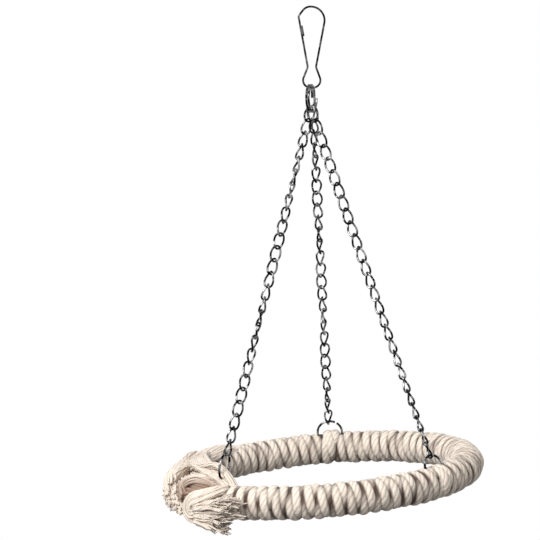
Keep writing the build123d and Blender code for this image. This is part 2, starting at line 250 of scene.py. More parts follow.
# Frayed ends: clumps of yarn, the cut end's width and depth, and how far yarns reach, part, fall and wave
Fray = namedtuple("Fray", "clumps size reach spread droop crimp seed")
TUFT = Fray(
    clumps=2,
    size=(0.0018, 0.0018),
    reach=0.0062,
    spread=(0.2, 0.2),
    droop=0.05,
    crimp=0.0004,
    seed=0,
)
TUFT_FOLLOW = 0.7      # how far the tuft goes on in the yarn's direction, against its lean
TUFT_LEAN = np.array((0.15, -0.2, -0.5))
TUFT_OVERLAP = 0.002
TUFT_YARN = 1.5        # radius of the tuft's yarns as a share of a frayed yarn's
UPPER_TASSEL = Fray(
    clumps=40,
    size=(0.008, 0.009),
    reach=0.036,
    spread=(0.10, 0.10),
    droop=0.03,
    crimp=0.0013,
    seed=5,
)
LOWER_TASSEL = Fray(
    clumps=32,
    size=(0.008, 0.009),
    reach=0.025,
    spread=(0.14, 0.12),
    droop=0.02,
    crimp=0.0013,
    seed=8,
)
TASSELS = ((0.003, -0.04, UPPER_TASSEL), (-0.002, -0.24, LOWER_TASSEL))   # height and slope of each
TASSEL_OVERLAP = 0.011
TASSEL_OUT = 0.001

# Draws for the yarns: the least and the most, or how far to either side
ANY_PHASE = (0, 6.28)
BUNDLE_WANDERS = (0.0002, 0.0005)
BUNDLE_BEATS = (3, 8)
BUNDLE_YARNS = (0.85, 1.12)      # radius as a share of the bundle's
SHEET_START_STRAY = 4
SHEET_STOP_STRAY = 1.5
SHEET_WANDER_BEATS = (4, 9)
SHEET_WAVE_BEATS = (5, 12)
SLEEVE_WANDER_BEATS = (5, 9)
SLEEVE_WAVE_BEATS = (6, 12)
FAN_LAYER_STRAY = 0.25
FAN_RING_STRAY = 0.8
FRAY_PARTING = 0.3
FRAY_CLUMP_LENGTHS = (0.66, 1.05)
FRAY_WAVES = (0.3, 1)
FRAY_BEATS = (5, 11)
FRAY_FALLS = (0.4, 1.4)
FRAY_MEMBERS = (4, 7)
FRAY_YARN_LENGTHS = (0.8, 1.04)
FRAY_STRAY = 0.0005
FRAY_LOOSENING = (-0.2, 0.9)
FRAY_YARNS = (0.75, 1.2)

# Form of the strands and yarns
STRANDS = 3
GOLDEN_ANGLE = 2.39996
YARN_SIDES = 8
FRAY_SIDES = 6
FRAY_POINTS = 12
FRAY_BEND = 1.4                  # power of the length by which frayed yarns part
FRAY_TAPER = 0.3
UV_PER_METRE = 100

# Cotton: its surface, its yarns and their shares of wobble, fibre, stain and depth, and the shade painted
# between its yarns and deep in the rope
COTTON = {"Roughness": 0.92, "Specular IOR Level": 0.15, "Sheen Weight": 0.15, "Sheen Roughness": 0.5}
LAID_YARNS = {"yarns": 6.0, "slant": -2.7, "depth": 0.0004, "groove_shade_share": 0.6}
LOOSE_YARNS = {"yarns": 3.0, "slant": 0.9, "depth": 0.0003, "groove_shade_share": 0.75}
YARN_WOBBLE = 0.7
FIBRE_HEIGHT = 0.45
FIBRE_TONE = 0.6
STAIN_TONE = 0.55
GROOVE_FALL = 1.6
DEEPEST_SHADE = 0.95

# Metal: the corner to which the hook's left leg runs, and the bridge over the leg's bending point
HOOK_CORNER = Vector((-0.0076, 0, -0.00525))
BRIDGE_HALF = 0.0016
BRIDGE_SKIN = 0.00003
BRIDGE_STEPS = 12
WIRE_SIDES = 20
SCUFF_ROUGHNESS = 0.18
CORE_TARNISH = 0.5
CORE_ROUGHNESS = 0.42

# Stage
CAMERA_PLACE = (-0.0253, -1.573, -0.0011)
SENSOR_WIDTH = 36.0
FLOOR_HALF = 14.0
FLOOR_SHADE = 0.25
WHITE = (1, 1, 1, 1)
KEY_PLACE = (-1.1, -1.3, 1.0)
KEY_WIDTH = 1.3
FILL_PLACE = (1.3, -0.9, 0.3)
FILL_WIDTH = 1.0
LAMP_TARGET = Vector((0, 0, -0.22))


# Places

def from_seat(points):
    """Points of the part's frame, given in the seat's own tilted frame."""
    points = np.asarray(points, dtype=float)
    x, y, z = points[..., 0], points[..., 1], points[..., 2]
    flat = x * math.cos(SEAT_TILT) - z * math.sin(SEAT_TILT)
    up = x * math.sin(SEAT_TILT) + z * math.cos(SEAT_TILT)
    return np.stack((flat, y, up), axis=-1) + SEAT_CENTRE


def by_hoop(angle, out, up):
    """Points beside the hoop's centre line: degrees round the hoop, distance outward and distance above."""
    angle, out, up = np.broadcast_arrays(np.radians(angle), out, up)
    reach = HOOP_RADIUS + out
    return from_seat(np.stack((reach * np.cos(angle), reach * np.sin(angle), up), axis=-1))


def round_hoop(angle, section, radius):
    """Points round the hoop's centre line: degrees round the hoop, radians round its section, distance."""
    return by_hoop(angle, radius * np.cos(section), radius * np.sin(section))


def about_hoop(points):
    """Degrees round the hoop, degrees round its section and distance from its centre line of points."""
    x, y, z = np.moveaxis(np.asarray(points) - SEAT_CENTRE, -1, 0)
    flat = x * math.cos(SEAT_TILT) + z * math.sin(SEAT_TILT)
    up = z * math.cos(SEAT_TILT) - x * math.sin(SEAT_TILT)
    out = np.hypot(flat, y) - HOOP_RADIUS
    return np.degrees(np.arctan2(y, flat)) % 360, np.degrees(np.arctan2(up, out)), np.hypot(out, up)


def waves(at, terms):
    """Sum of slow waves, each given by its size, beat and start."""
    return sum(size * np.sin(beat * at + start) for size, beat, start in terms)


def winding(turns):
    """Centre line of the wound rope and the direction away from the hoop's core."""
    turns = np.asarray(turns, dtype=float)
    angle = np.interp(turns, TURN_MARKS, ANGLE_MARKS) + waves(turns, ANGLE_WAVES)
    section = 2 * np.pi * turns + np.pi / 2
    radius = HELIX_RADIUS + waves(turns, RADIUS_WAVES)
    for ring, bearing in RINGS:
        past = turns - ring - bearing / 360 + QUARTER_TURN
        radius = radius + (np.abs(past) < QUARTER_TURN) * RING_LIFT * np.cos(2 * np.pi * past) ** 2
    centre = round_hoop(angle, section, radius)
    return centre, unit(centre - by_hoop(angle, 0, 0))


def all_open(points):
    """One for each point, so that no shade is painted."""
    return [1.0] * len(points)


def out_of_crevices(points):
    """One on the outside of the winding, falling to nought deep between its turns and strands, where shade
    is painted into the rope's colour.
    """
    reach = about_hoop(points)[2]
    return np.interp(reach, CREVICE_REACHES, CREVICE_OPENNESS)


def out_of_hollow(points):
    """One outside the knot, falling towards nought deep in the hollow at its front, where shade is painted
    into the yarns' colour.
    """
    angle, section, reach = about_hoop(points)
    along = np.interp(angle, HOLLOW_ANGLES, HOLLOW_EASE)
    facing = np.interp(section, HOLLOW_SECTIONS, HOLLOW_EASE)
    inside = np.interp(reach, HOLLOW_REACHES, HOLLOW_DEPTHS)
    return 1 - along * facing * inside


# Curves

def unit(vectors):
    """Vectors of length one."""
    return vectors / np.linalg.norm(vectors, axis=-1, keepdims=True)


def tangents(points):
    """Directions along a line of points."""
    return unit(np.gradient(points, axis=0))


def lengths(points):
    """Distance along a line of points."""
    steps = np.linalg.norm(np.diff(points, axis=0), axis=1)
    return np.concatenate(([0], np.cumsum(steps)))


def even(points, step):
    """Line of points at an even spacing."""
    along = lengths(points)
    marks = np.linspace(0, along[-1], max(3, int(along[-1] / step) + 1))
    return np.stack([np.interp(marks, along, points[:, i]) for i in range(3)], axis=1)


def carried_frame(points, normal):
    """Normals and binormals carried along a line without twist."""
    along = tangents(points)
    normals = np.empty_like(points)
    current = np.asarray(normal, dtype=float)
    for i, direction in enumerate(along):
        current = current - direction * current.dot(direction)
        current = current / np.linalg.norm(current)
        normals[i] = current
    return normals, np.cross(along, normals)


def smooth_route(points):
    """Points of the spline that has a route's points as its controls."""
    curve = bpy.data.curves.new("route", "CURVE")
    curve.dimensions = "3D"
    curve.resolution_u = SPLINE_STEPS
    spline = curve.splines.new("NURBS")
    spline.points.add(len(points) - 1)
    for control, point in zip(spline.points, points):
        control.co = (*point, 1)
    spline.order_u = 3
    spline.use_endpoint_u = True
    holder = bpy.data.objects.new("route", curve)
    bpy.context.scene.collection.objects.link(holder)
    mesh = bpy.data.meshes.new_from_object(holder)
    line = np.array([v.co for v in mesh.vertices])
    bpy.data.objects.remove(holder)
    bpy.data.curves.remove(curve)
    bpy.data.meshes.remove(mesh)
    return line


def route_points(route):
    """Points of a listed route."""
    return [by_hoop(angle, out / 1000, up / 1000) for angle, out, up in route]


def laid_line(route, step, lead=()):
    """Even line along a listed route, after the points that lead to it."""
    return even(smooth_route([*lead, *route_points(route)]), step)


# Meshes of many tubes

class TubeMesh:
    """Tubes gathered into one smooth mesh, with the distance along and the place around each in its UVs."""

    def __init__(self):
        self.points = []
        self.faces = []
        self.uvs = []

    def add(self, line, radius, sides, normal=UP, width=1.0):
        """Closed tube along a line, with one radius or one for each point.

        The normal is one to carry along the line or one for each point. The width across it is given as a
        share of the thickness along it.
        """
        line = np.asarray(line)
        radius = np.broadcast_to(radius, (len(line),))
        if np.ndim(normal) == 1:
            normals, binormals = carried_frame(line, normal)
        else:
            binormals = unit(np.cross(tangents(line), normal))
            normals = np.cross(binormals, tangents(line))
        angles = np.linspace(0, 2 * np.pi, sides, endpoint=False)
        across = np.cos(angles)[None, :, None] * normals[:, None, :]
        beside = width * np.sin(angles)[None, :, None] * binormals[:, None, :]
        rings = line[:, None, :] + radius[:, None, None] * (across + beside)
        base = len(self.points)
        self.points.extend(rings.reshape(-1, 3).tolist())
        along = lengths(line) * UV_PER_METRE
        for i in range(len(line) - 1):
            for j in range(sides):
                k = (j + 1) % sides
                a = base + i * sides
                b = a + sides
                self.faces.append((a + j, a + k, b + k, b + j))
                low, high = j / sides, (j + 1) / sides
                self.uvs.extend((along[i], low, along[i], high, along[i + 1], high, along[i + 1], low))
        self.cap(base, line[0], along[0], sides, False)
        self.cap(base + (len(line) - 1) * sides, line[-1], along[-1], sides, True)

    def cap(self, base, middle, along, sides, outward):
        """Closed end of a tube."""
        hub = len(self.points)
        self.points.append(list(middle))
        for j in range(sides):
            pair = (base + j, base + (j + 1) % sides)
            self.faces.append((hub, *pair) if outward else (hub, *reversed(pair)))
            self.uvs.extend((along, 0.5, along, j / sides, along, (j + 1) / sides))

    def make(self, name, material, unshaded=all_open):
        """Object of the gathered tubes, with how unshaded each point lies, which sets how much shade is
        painted there.
        """
        mesh = bpy.data.meshes.new(name)
        mesh.from_pydata(self.points, [], self.faces)
        layer = mesh.uv_layers.new(name="along_and_around")
        layer.data.foreach_set("uv", self.uvs)
        # how unshaded each point lies; the material paints shade where this falls
        shades = mesh.attributes.new("unshaded", "FLOAT", "POINT")
        shades.data.foreach_set("value", unshaded(self.points))
        mesh.polygons.foreach_set("use_smooth", [True] * len(mesh.polygons))
        mesh.materials.append(material)
        piece = bpy.data.objects.new(name, mesh)
        bpy.context.scene.collection.objects.link(piece)
        return piece


def add_laid_rope(tubes, line, normals, settings, phase):
    """Three strands laid round a line and pressed wider than thick."""
    binormals = np.cross(tangents(line), normals)
    along = lengths(line)
    reach = settings.diameter / 2
    strand = reach * settings.strand_share
    offset = reach - strand
    for number in range(STRANDS):
        angle = phase - 2 * np.pi * (along / settings.lay + number / STRANDS)
        swell = 1 + waves(along, [(size, beat, start * number) for size, beat, start in STRAND_WAVES])
        across = np.sin(angle)[:, None] * binormals * settings.press
        centre = line + offset * (np.cos(angle)[:, None] * normals + across)
        tubes.add(centre, strand * swell, settings.strand_sides, normals, settings.strand_width)


def add_yarn_bundle(tubes, line, normal, bundle):
    """Unlaid rope: yarns side by side in a flattened bundle that turns slowly and wanders a little."""
    dice = random.Random(bundle.seed)
    normals, binormals = carried_frame(line, normal)
    share = np.linspace(0, 1, len(line))
    wide = np.interp(share, np.linspace(0, 1, len(bundle.widths)), bundle.widths)
    deep = np.interp(share, np.linspace(0, 1, len(bundle.depths)), bundle.depths)
    for number in range(bundle.count):
        far = math.sqrt((number + 0.5) / bundle.count)
        bearing = number * GOLDEN_ANGLE + np.radians(bundle.twist) * share
        wander = dice.uniform(*BUNDLE_WANDERS)
        beat = dice.uniform(*BUNDLE_BEATS)
        sway = beat * share + dice.uniform(*ANY_PHASE)
        aside = far * np.cos(bearing) * np.maximum(0, wide / 2 - bundle.yarn) + wander * np.sin(sway)
        above = far * np.sin(bearing) * np.maximum(0, deep / 2 - bundle.yarn) + wander * np.cos(sway)
        centre = line + aside[:, None] * binormals + above[:, None] * normals
        tubes.add(centre, bundle.yarn * dice.uniform(*BUNDLE_YARNS), YARN_SIDES, normal)


def add_loose_yarns(tubes, yarns, radius, variety=(0, 0)):
    """Single yarns along given lines, of a radius that differs a little from one to the next."""
    share, beat = variety
    for number, yarn in enumerate(yarns):
        tubes.add(yarn, radius * (1 + share * math.sin(beat * number)), YARN_SIDES)


def sheet_yarns():
    """Lines of unlaid yarns spread in layers over the hoop's outside, from the last turns of the winding."""
    dice = random.Random(SHEET_SEED)
    share = np.linspace(0, 1, SHEET_POINTS)
    half = np.interp(share, SHEET_SHARES, SHEET_HALVES)
    rise = np.interp(share, SHEET_RISE_SHARES, SHEET_RISES)
    yarns = []
    for reach, count in SHEET_LAYERS:
        for number in range(count):
            place = (2 * number + 1) / count - 1
            start = SHEET_ENDS[0] + dice.uniform(-SHEET_START_STRAY, SHEET_START_STRAY)
            stray = dice.uniform(-SHEET_STOP_STRAY, SHEET_STOP_STRAY)
            stop = SHEET_ENDS[1] - SHEET_SLANT * place + stray
            angle = np.linspace(start, stop, SHEET_POINTS)
            middle = np.interp(angle, SHEET_ANGLES, SHEET_MIDDLES)
            beat = dice.uniform(*SHEET_WANDER_BEATS)
            wander = SHEET_WANDER * np.sin(beat * share + dice.uniform(*ANY_PHASE))
            section = np.radians(middle + place * half + wander)
            crown = reach - SHEET_CROWN * place**2 - SHEET_LOWER_EDGE * max(0, -place)
            full = crown + SHEET_WAVE * np.sin(dice.uniform(*SHEET_WAVE_BEATS) * share)
            yarns.append(round_hoop(angle, section, SHEET_ROOT + (full - SHEET_ROOT) * rise))
    return yarns


def sleeve_yarns():
    """Lines of yarns that lie along the hoop inside the knot, all round it."""
    dice = random.Random(SLEEVE_SEED)
    share = np.linspace(0, 1, SLEEVE_POINTS)
    angle = np.linspace(*SLEEVE_ENDS, SLEEVE_POINTS)
    swell = SLEEVE_RADIUS + SLEEVE_SWELL * np.sin(np.pi * share)
    yarns = []
    for number in range(SLEEVE_COUNT):
        wander = SLEEVE_WANDER * np.sin(dice.uniform(*SLEEVE_WANDER_BEATS) * share)
        section = 2 * np.pi * number / SLEEVE_COUNT + SLEEVE_TWIST * share + wander
        radius = swell + SLEEVE_WAVE * np.sin(dice.uniform(*SLEEVE_WAVE_BEATS) * share)
        yarns.append(round_hoop(angle, section, radius))
    return yarns


def fan_yarns():
    """Lines of the hitch's yarns, from the spread upper end through the ring and down to the first turn."""
    dice = random.Random(FAN_SEED)
    yarns = []
    for number in range(FAN_COUNT):
        place = (2 * number + 1) / FAN_COUNT - 1
        route = FAN_ROUTE + place * FAN_SPREAD
        stray = dice.uniform(-FAN_LAYER_STRAY, FAN_LAYER_STRAY)
        route[:-1, 2] += FAN_LAYER_STEP * (number % FAN_LAYERS) + stray
        route[-2, 0] += dice.uniform(-FAN_RING_STRAY, FAN_RING_STRAY)
        under, leave, ring, down, buried = route_points(route)
        aside = dice.uniform(-FAN_STRAY, FAN_STRAY)
        lift = FAN_LIFT + dice.uniform(-FAN_STRAY, FAN_STRAY)
        crown = (leave + ring) / 2 + np.array((aside, 0, lift))
        outwards = unit(crown - SEAT_CENTRE) * (FAN_BULGE - FAN_BULGE_FALL * place)
        yarns.append(even(smooth_route([under, leave, crown + outwards, ring, down, buried]), ROUTE_STEP))
    return yarns


def add_frayed_yarns(tubes, root, heading, yarn, fray):
    """Loose yarns in clumps that fan out from a cut end, waved and falling a little."""
    dice = random.Random(fray.seed)
    heading = unit(np.asarray(heading))
    across = unit(np.asarray(UP) - heading * np.dot(UP, heading))
    through = np.cross(heading, across)
    share = np.linspace(0, 1, FRAY_POINTS)
    for number in range(fray.clumps):
        far = math.sqrt((number + 0.5) / fray.clumps)
        bearing = number * GOLDEN_ANGLE
        aside = far * math.cos(bearing)
        above = far * math.sin(bearing)
        fan = (aside + dice.gauss(0, FRAY_PARTING)) * fray.spread[0]
        thick = (above + dice.gauss(0, FRAY_PARTING)) * fray.spread[1]
        length = fray.reach * dice.uniform(*FRAY_CLUMP_LENGTHS)
        wave = fray.crimp * dice.uniform(*FRAY_WAVES)
        beat = dice.uniform(*FRAY_BEATS)
        start = dice.uniform(*ANY_PHASE)
        fall = fray.droop * dice.uniform(*FRAY_FALLS)
        for member in range(dice.randint(*FRAY_MEMBERS)):
            own = length * dice.uniform(*FRAY_YARN_LENGTHS)
            shift = [dice.gauss(0, FRAY_STRAY), dice.gauss(0, FRAY_STRAY)]
            loose = 1 + share * dice.uniform(*FRAY_LOOSENING)
            sway = wave * share * np.sin(beat * share + start + 0.25 * member) + shift[0] * loose
            lift = wave * share * np.cos(beat * share * 0.8 + start + 0.2 * member) + shift[1] * loose
            parting = share**FRAY_BEND * own
            line = root + (share * own)[:, None] * heading
            line = line + (aside * fray.size[0] / 2 + parting * fan + sway)[:, None] * across
            line = line + (above * fray.size[1] / 2 + parting * thick + lift)[:, None] * through
            line[:, 2] -= fall * own * share**2
            width = yarn * dice.uniform(*FRAY_YARNS) * (1 - FRAY_TAPER * share**2)
            tubes.add(line, width, FRAY_SIDES, across)


# Node groups and materials

class Nodes:
    """Short hand for adding and joining shader nodes."""

    def __init__(self, tree):
        self.tree = tree

    def give(self, socket, value):
        """Set a socket to a number or colour, or link it to another socket."""
        if isinstance(value, (int, float, tuple)):
            socket.default_value = value
        else:
            self.tree.links.new(value, socket)

    def add(self, kind, values=None, links=None, **settings):
        """Node of a kind, with its settings, its sockets' values and its links."""
        node = self.tree.nodes.new(kind)
        for key, value in settings.items():
            setattr(node, key, value)
        for key, value in (values or {}).items():
            node.inputs[key].default_value = value
        for key, source in (links or {}).items():
            self.tree.links.new(source, node.inputs[key])
        return node

    def math(self, operation, *values):
        """Result of a calculation on numbers or sockets."""
        node = self.add("ShaderNodeMath", operation=operation)
        for socket, value in zip(node.inputs, values):
            self.give(socket, value)
        return node.outputs[0]

    def mix(self, share, first, second):
        """Mix of two colours."""
        node = self.add("ShaderNodeMix", data_type="RGBA")
        for key, value in (("Factor", share), ("A", first), ("B", second)):
            self.give(next(s for s in node.inputs if s.name == key and s.enabled), value)
        return next(s for s in node.outputs if s.enabled)

    def noise(self, place, detail, scale, **values):
        """Noise of a scale that is a number or a socket, in the piece's own space."""
        links = {"Vector": place.outputs["Object"]}
        node = self.add("ShaderNodeTexNoise", {"Detail": detail, **values}, links)
        self.give(node.inputs["Scale"], scale)
        return node.outputs["Fac"]


def new_group(name, inputs, outputs):
    """Empty shader group with named number sockets."""
    group = bpy.data.node_groups.new(name, "ShaderNodeTree")
    for label, value in inputs.items():
        socket = group.interface.new_socket(label, in_out="INPUT", socket_type="NodeSocketFloat")
        socket.default_value = value
    for label in outputs:
        group.interface.new_socket(label, in_out="OUTPUT", socket_type="NodeSocketFloat")
    return group


def yarn_group():
    """Ridges of spun yarn that run round a strand at a slant, with fine fibres, and where shade is painted
    between the ridges.
    """
    name = "Spun yarn"
    if name in bpy.data.node_groups:
        return bpy.data.node_groups[name]
    inputs = {"Yarns Around": 7.0, "Slant": 3.0, "Fibre Scale": 900.0}
    group = new_group(name, inputs, ("Height", "Groove Shade", "Tone"))
    n = Nodes(group)
    given = n.add("NodeGroupInput")
    place = n.add("ShaderNodeTexCoord")
    uv = n.add("ShaderNodeSeparateXYZ", links={"Vector": place.outputs["UV"]})
    around = n.math("MULTIPLY", uv.outputs["Y"], given.outputs["Yarns Around"])
    slanted = n.math("MULTIPLY_ADD", uv.outputs["X"], given.outputs["Slant"], around)
    wobble = n.noise(place, detail=3.0, scale=330.0)
    ridge = n.math("PINGPONG", n.math("MULTIPLY_ADD", wobble, YARN_WOBBLE, slanted), 0.5)
    rounded = n.math("SQRT", n.math("MULTIPLY", ridge, 2.0))
    fibre = n.noise(place, detail=3.0, scale=given.outputs["Fibre Scale"], Roughness=0.6)
    stain = n.noise(place, detail=3.0, scale=55.0)
    height = n.math("MULTIPLY_ADD", fibre, FIBRE_HEIGHT, rounded)
    # mask of the shade painted between the yarns
    groove_shade = n.math("POWER", n.math("SUBTRACT", 1.0, rounded), GROOVE_FALL)
    tone = n.math("MULTIPLY_ADD", fibre, FIBRE_TONE, n.math("MULTIPLY", stain, STAIN_TONE))
    n.add("NodeGroupOutput", links={"Height": height, "Groove Shade": groove_shade, "Tone": tone})
    return group


def plating_group():
    """Uneven tarnish and fine scuffs on plated wire."""
    name = "Plating"
    if name in bpy.data.node_groups:
        return bpy.data.node_groups[name]
    group = new_group(name, {"Tarnish Scale": 260.0, "Scuff Scale": 1800.0}, ("Tarnish", "Scuff"))
    n = Nodes(group)
    given = n.add("NodeGroupInput")
    place = n.add("ShaderNodeTexCoord")
    cloud = n.noise(place, detail=4.0, scale=given.outputs["Tarnish Scale"])
    scuff = n.noise(place, detail=2.0, scale=given.outputs["Scuff Scale"])
    edge = n.add("ShaderNodeMapRange", {"From Min": 0.47, "From Max": 0.66}, {"Value": cloud})
    n.add("NodeGroupOutput", links={"Tarnish": edge.outputs["Result"], "Scuff": scuff})
    return group


def empty_material(name):
    """Material with an empty tree."""
    material = bpy.data.materials.new(name)
    material.use_nodes = True
    material.node_tree.nodes.clear()
    return material, Nodes(material.node_tree)


def new_material(name, values):
    """Material with a surface shader of given values."""
    material, n = empty_material(name)
    shader = n.add("ShaderNodeBsdfPrincipled", values)
    n.add("ShaderNodeOutputMaterial", links={"Surface": shader.outputs["BSDF"]})
    return material, n, shader


def rope_material(name, settings, deep_shade_colour, yarns, slant, depth, groove_shade_share):
    """Undyed cotton, with shade painted between its yarns and a darker painted shade where it lies deep."""
    if name in bpy.data.materials:
        return bpy.data.materials[name]
    material, n, shader = new_material(name, COTTON)
    spun = n.add("ShaderNodeGroup", {"Yarns Around": yarns, "Slant": slant}, node_tree=yarn_group())
    body = n.mix(spun.outputs["Tone"], (*settings.dark_colour, 1), (*settings.light_colour, 1))
    # shade painted between the yarns
    shade = n.math("MULTIPLY", spun.outputs["Groove Shade"], groove_shade_share)
    grooved = n.mix(shade, body, (*settings.groove_shade_colour, 1))
    # painted shade deep between the turns and in the knot's hollow
    unshaded = n.add("ShaderNodeAttribute", attribute_name="unshaded")
    deep = n.math("MULTIPLY", n.math("SUBTRACT", 1.0, unshaded.outputs["Fac"]), DEEPEST_SHADE)
    colour = n.mix(deep, grooved, (*deep_shade_colour, 1))
    bump = n.add("ShaderNodeBump", {"Strength": 0.8, "Distance": depth}, {"Height": spun.outputs["Height"]})
    n.give(shader.inputs["Base Color"], colour)
    n.give(shader.inputs["Normal"], bump.outputs["Normal"])
    return material


def laid_rope_material(settings):
    """Cotton of the wound rope's strands, with shade painted deep between the turns."""
    return rope_material("Laid cotton", settings, settings.crevice_shade_colour, **LAID_YARNS)


def loose_yarn_material(settings):
    """Cotton of the single yarns at the knot, with shade painted deep in its hollow."""
    return rope_material("Loose cotton yarn", settings, settings.hollow_shade_colour, **LOOSE_YARNS)


def metal_material(name, colour, tarnish, roughness):
    """Wire with darker tarnish and fine scuffs."""
    if name in bpy.data.materials:
        return bpy.data.materials[name]
    material, n, shader = new_material(name, {"Metallic": 1.0})
    plating = n.add("ShaderNodeGroup", node_tree=plating_group())
    scuff = plating.outputs["Scuff"]
    body = n.mix(plating.outputs["Tarnish"], (*tarnish, 1), (*colour, 1))
    rough = n.math("MULTIPLY_ADD", scuff, SCUFF_ROUGHNESS, roughness)
    bump = n.add("ShaderNodeBump", {"Strength": 0.12, "Distance": 0.00004}, {"Height": scuff})
    n.give(shader.inputs["Base Color"], body)
    n.give(shader.inputs["Roughness"], rough)
    n.give(shader.inputs["Normal"], bump.outputs["Normal"])
    return material


def seen_directly(n):
    """One for rays of the camera and of mirror images, nought for light."""
    path = n.add("ShaderNodeLightPath")
    clear = n.math("MAXIMUM", path.outputs["Is Glossy Ray"], path.outputs["Is Transmission Ray"])
    return n.math("MAXIMUM", path.outputs["Is Camera Ray"], clear)


def white_material(name, shade):
    """Pale surface that the camera and reflections see as white."""
    material, n = empty_material(name)
    paint = n.add("ShaderNodeBsdfDiffuse", {"Color": (shade, shade, shade, 1)})
    glow = n.add("ShaderNodeEmission", {"Color": WHITE, "Strength": 1.0})
    shaders = {"Fac": seen_directly(n), 1: paint.outputs["BSDF"], 2: glow.outputs["Emission"]}
    surface = n.add("ShaderNodeMixShader", links=shaders)
    n.add("ShaderNodeOutputMaterial", links={"Surface": surface.outputs["Shader"]})
    return material


# Settings

class BirdSwingRope(bpy.types.PropertyGroup):
    """Sizes and colours of the rope and its yarns"""
    diameter: FloatProperty(
        name="Diameter",
        description="Rope's diameter over its strands",
        default=0.0073,
        unit="LENGTH",
    )
    lay: FloatProperty(
        name="Lay",
        description="Length in which a strand goes once round the rope",
        default=0.042,
        unit="LENGTH",
    )
    press: FloatProperty(
        name="Press",
        description="How much farther the strands lie apart along the hoop than away from it",
        default=2.8,
    )
    strand_share: FloatProperty(
        name="Strand",
        description="Strand's radius as a share of the rope's",
        default=0.75,
        subtype="FACTOR",
    )
    strand_width: FloatProperty(
        name="Strand Width",
        description="Strand's width as a share of its thickness",
        default=1.3,
    )
    strand_sides: IntProperty(
        name="Strand Sides",
        description="Faces round one strand",
        default=12,
        min=6,
        max=48,
    )
    yarn: FloatProperty(
        name="Frayed Yarn",
        description="Radius of one frayed yarn",
        default=0.00056,
        unit="LENGTH",
    )
    loose_yarn: FloatProperty(
        name="Loose Yarn",
        description="Radius of one yarn of the spread upper end",
        default=0.00125,
        unit="LENGTH",
    )
    fan_yarn: FloatProperty(
        name="Fan Yarn",
        description="Radius of one yarn of the hitch",
        default=0.00085,
        unit="LENGTH",
    )
    light_colour: FloatVectorProperty(
        name="Light",
        description="Colour of the cotton in the light",
        default=(0.86, 0.775, 0.685),
        subtype="COLOR",
    )
    dark_colour: FloatVectorProperty(
        name="Dark",
        description="Colour of the cotton's darker fibres",
        default=(0.56, 0.47, 0.39),
        subtype="COLOR",
    )
    # painted shade between the yarns
    groove_shade_colour: FloatVectorProperty(
        name="Groove Shade",
        description="Colour between the yarns",
        default=(0.26, 0.19, 0.14),
        subtype="COLOR",
    )
    # painted shade deep between the turns
    crevice_shade_colour: FloatVectorProperty(
        name="Crevice",
        description="Colour deep between the turns",
        default=(0.055, 0.03, 0.018),
        subtype="COLOR",
    )
    # painted shade deep in the knot's hollow
    hollow_shade_colour: FloatVectorProperty(
        name="Hollow",
        description="Colour deep in the knot",
        default=(0.20, 0.105, 0.06),
        subtype="COLOR",
    )


class BirdSwingMetal(bpy.types.PropertyGroup):
    """Colours and finish of the metal"""
    nickel: FloatVectorProperty(
        name="Nickel",
        description="Colour of the plating",
        default=(0.42, 0.42, 0.425),
        subtype="COLOR",
    )
    hook: FloatVectorProperty(
        name="Hook",
        description="Colour of the hook's wire",
        default=(0.14, 0.14, 0.142),
        subtype="COLOR",
    )
    tarnish: FloatVectorProperty(
        name="Tarnish",
        description="Colour of the darker plating",
        default=(0.004, 0.004, 0.0042),
        subtype="COLOR",
    )
    core: FloatVectorProperty(
        name="Core",
        description="Colour of the hoop inside the rope",
        default=(0.21, 0.14, 0.09),
        subtype="COLOR",
    )
    roughness: FloatProperty(
        name="Roughness",
        description="Least roughness of the plating",
        default=0.2,
        subtype="FACTOR",
    )
    hook_wire: FloatProperty(
        name="Hook Wire",
        description="Diameter of the hook's wire",
        default=0.0013,
        unit="LENGTH",
    )


class BirdSwingStage(bpy.types.PropertyGroup):
    """Camera, floor and light"""
    lens: FloatProperty(
        name="Lens",
        description="Camera's focal length in millimetres",
        default=168.1,
    )
    pitch: FloatProperty(
        name="Pitch",
        description="How far the camera looks down",
        default=math.radians(5.9),
        subtype="ANGLE",
    )
    floor_drop: FloatProperty(
        name="Floor",
        description="Height of the floor below the hanging point",
        default=1.2,
        unit="LENGTH",
    )
    sky: FloatProperty(
        name="Sky",
        description="Strength of the light from all round",
        default=0.62,
    )
    key: FloatProperty(
        name="Key",
        description="Power of the main lamp in watts",
        default=58.0,
    )
    fill: FloatProperty(
        name="Fill",
        description="Power of the fill lamp in watts",
        default=1.5,
    )


class BirdSwingSettings(bpy.types.PropertyGroup):
    """All that a user would change"""
    rope: PointerProperty(
        name="Rope",
        description="Sizes and colours of the rope",
        type=BirdSwingRope,
    )
    metal: PointerProperty(
        name="Metal",
        description="Colours and finish of the metal",
        type=BirdSwingMetal,
    )
    stage: PointerProperty(
        name="Stage",
        description="Camera, floor and light",
        type=BirdSwingStage,
    )


# Pieces

def dress(node, material):
    """Give a solid one material."""
    node.data.materials.clear()
    node.data.materials.append(material)


def set_on_seat(piece, node):
    """Piece that stands for a node of the seat."""
    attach(piece, "seat")
    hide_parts(node)


class BIRDSWING_OT_camera(bpy.types.Operator):
    """Set the camera where the swing is seen from the front and a little above"""
    bl_idname = "birdswing.camera"
    bl_label = "Camera"

    def execute(self, context):
        stage = context.scene.bird_swing.stage
        camera = bpy.data.objects.new("camera", bpy.data.cameras.new("camera"))
        camera.data.sensor_width = SENSOR_WIDTH
        camera.data.lens = stage.lens
        camera.location = CAMERA_PLACE
        camera.rotation_euler = (math.pi / 2 - stage.pitch, 0, 0)
        context.scene.collection.objects.link(camera)
        context.scene.camera = camera
        return {"FINISHED"}


